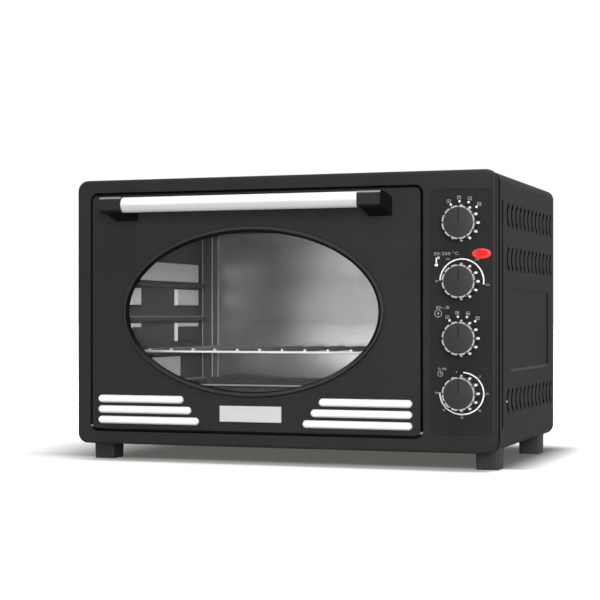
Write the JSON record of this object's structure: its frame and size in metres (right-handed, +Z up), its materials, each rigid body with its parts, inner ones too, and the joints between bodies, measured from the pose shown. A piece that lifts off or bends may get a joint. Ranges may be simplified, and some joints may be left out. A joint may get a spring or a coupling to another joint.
{
  "type": "toaster oven",
  "caption": "Counter-top toaster oven with a drop-down door, an oval window, a bar handle, knobs on the right, a wire rack and a baking tray.",
  "frame": {"origin": "middle of the part's bounding box at the table", "axes": "+X to the right seen from the front, +Y to the back, +Z up"},
  "size_m": [0.522, 0.3914, 0.341],
  "materials": {
    "black_paint": "satin baked paint on sheet steel",
    "control_plate": "fine matt moulded plastic with white print",
    "galvanised_steel": "dull galvanised sheet",
    "cavity_steel": "aluminised steel sheet, slightly dull",
    "chrome_wire": "bright plated wire",
    "tray_enamel": "dark vitreous enamel",
    "silver_bar": "satin silver",
    "black_plastic": "moulded heat-resistant plastic",
    "knob_plastic": "satin black moulding",
    "knob_silver": "vacuum-plated plastic",
    "window_glass": "clear toughened glass",
    "pilot_red": "translucent red lens, lit",
    "lamp_glass": "neon bulb",
    "heater_sheath": "dull oxidised steel tube",
    "ceramic": "unglazed white ceramic",
    "control_body": "moulded phenolic",
    "plated_steel": "zinc-plated steel"
  },
  "bodies": {
    "oven_body": {"base_plate": "galvanised_steel", "cavity_back": "cavity_steel", "cavity_floor": "cavity_steel", "cavity_left_wall": "cavity_steel", "cavity_right_wall": "cavity_steel", "cavity_top": "cavity_steel", "control_panel": "control_plate", "control_screws": "plated_steel", "cord_gland": "black_plastic", "door_spring": "plated_steel", "foot_front_left": "black_plastic", "foot_front_right": "black_plastic", "foot_rear_left": "black_plastic", "foot_rear_right": "black_plastic", "foot_screws": "plated_steel", "front_frame": "black_paint", "function_switch": "control_body", "heat_switch": "control_body", "heater_bushes": "ceramic", "hinge_pins": "plated_steel", "lower_heater_front": "heater_sheath", "lower_heater_rear": "heater_sheath", "outer_cover": "black_paint", "pilot_lamp": "lamp_glass", "pilot_lens": "pilot_red", "rear_panel": "galvanised_steel", "rear_screws": "plated_steel", "terminal_block": "ceramic", "thermostat": "control_body", "timer": "control_body", "upper_heater_front": "heater_sheath", "upper_heater_rear": "heater_sheath"},
    "door": {"door_panel": "black_paint", "window_bezel": "black_plastic", "door_glass": "window_glass", "door_liner": "black_paint", "door_arm": "galvanised_steel", "handle_bar": "silver_bar", "handle_bracket_left": "black_plastic", "handle_bracket_right": "black_plastic", "handle_screws": "plated_steel", "trim_bars_left": "silver_bar", "trim_bars_right": "silver_bar", "name_plate": "silver_bar"},
    "rack": {"wire_rack": "chrome_wire"},
    "tray": {"baking_tray": "tray_enamel"},
    "heat_knob_body": {"heat_knob": "knob_plastic", "heat_knob_trim": "knob_silver", "heat_shaft": "plated_steel"},
    "temperature_knob_body": {"temperature_knob": "knob_plastic", "temperature_knob_trim": "knob_silver", "temperature_shaft": "plated_steel"},
    "function_knob_body": {"function_knob": "knob_plastic", "function_knob_trim": "knob_silver", "function_shaft": "plated_steel"},
    "timer_knob_body": {"timer_knob": "knob_plastic", "timer_knob_trim": "knob_silver", "timer_shaft": "plated_steel"}
  },
  "joints": [
    {"name": "door_hinge", "type": "hinge", "parent": "oven_body", "child": "door", "pos_m": [0, -0.14375, 0.0425], "axis": [1, 0, 0], "range_deg": [0, 85], "stiffness_Nm_per_rad": 1.2, "springref_deg": -20.05},
    {"name": "rack_slide", "type": "slide", "parent": "oven_body", "child": "rack", "axis": [0, -1, 0], "range_m": [0, 0.105]},
    {"name": "tray_slide", "type": "slide", "parent": "oven_body", "child": "tray", "axis": [0, -1, 0], "range_m": [0, 0.06]},
    {"name": "heat_knob_turn", "type": "hinge", "parent": "oven_body", "child": "heat_knob_body", "pos_m": [0.221, -0.14725, 0.28071], "axis": [0, 1, 0], "range_deg": [-31, 44]},
    {"name": "temperature_knob_turn", "type": "hinge", "parent": "oven_body", "child": "temperature_knob_body", "pos_m": [0.221, -0.14725, 0.21489], "axis": [0, 1, 0], "range_deg": [-90, 100]},
    {"name": "function_knob_turn", "type": "hinge", "parent": "oven_body", "child": "function_knob_body", "pos_m": [0.221, -0.14725, 0.15089], "axis": [0, 1, 0], "range_deg": [-35, 39]},
    {"name": "timer_knob_turn", "type": "hinge", "parent": "oven_body", "child": "timer_knob_body", "pos_m": [0.221, -0.14725, 0.08881], "axis": [0, 1, 0], "range_deg": [0, 270]}
  ],
  "couplings": [
    {"joint": "rack_slide", "follows": "door_hinge", "m_per_rad": 0.07},
    {"joint": "tray_slide", "follows": "door_hinge", "m_per_rad": 0.04}
  ]
}
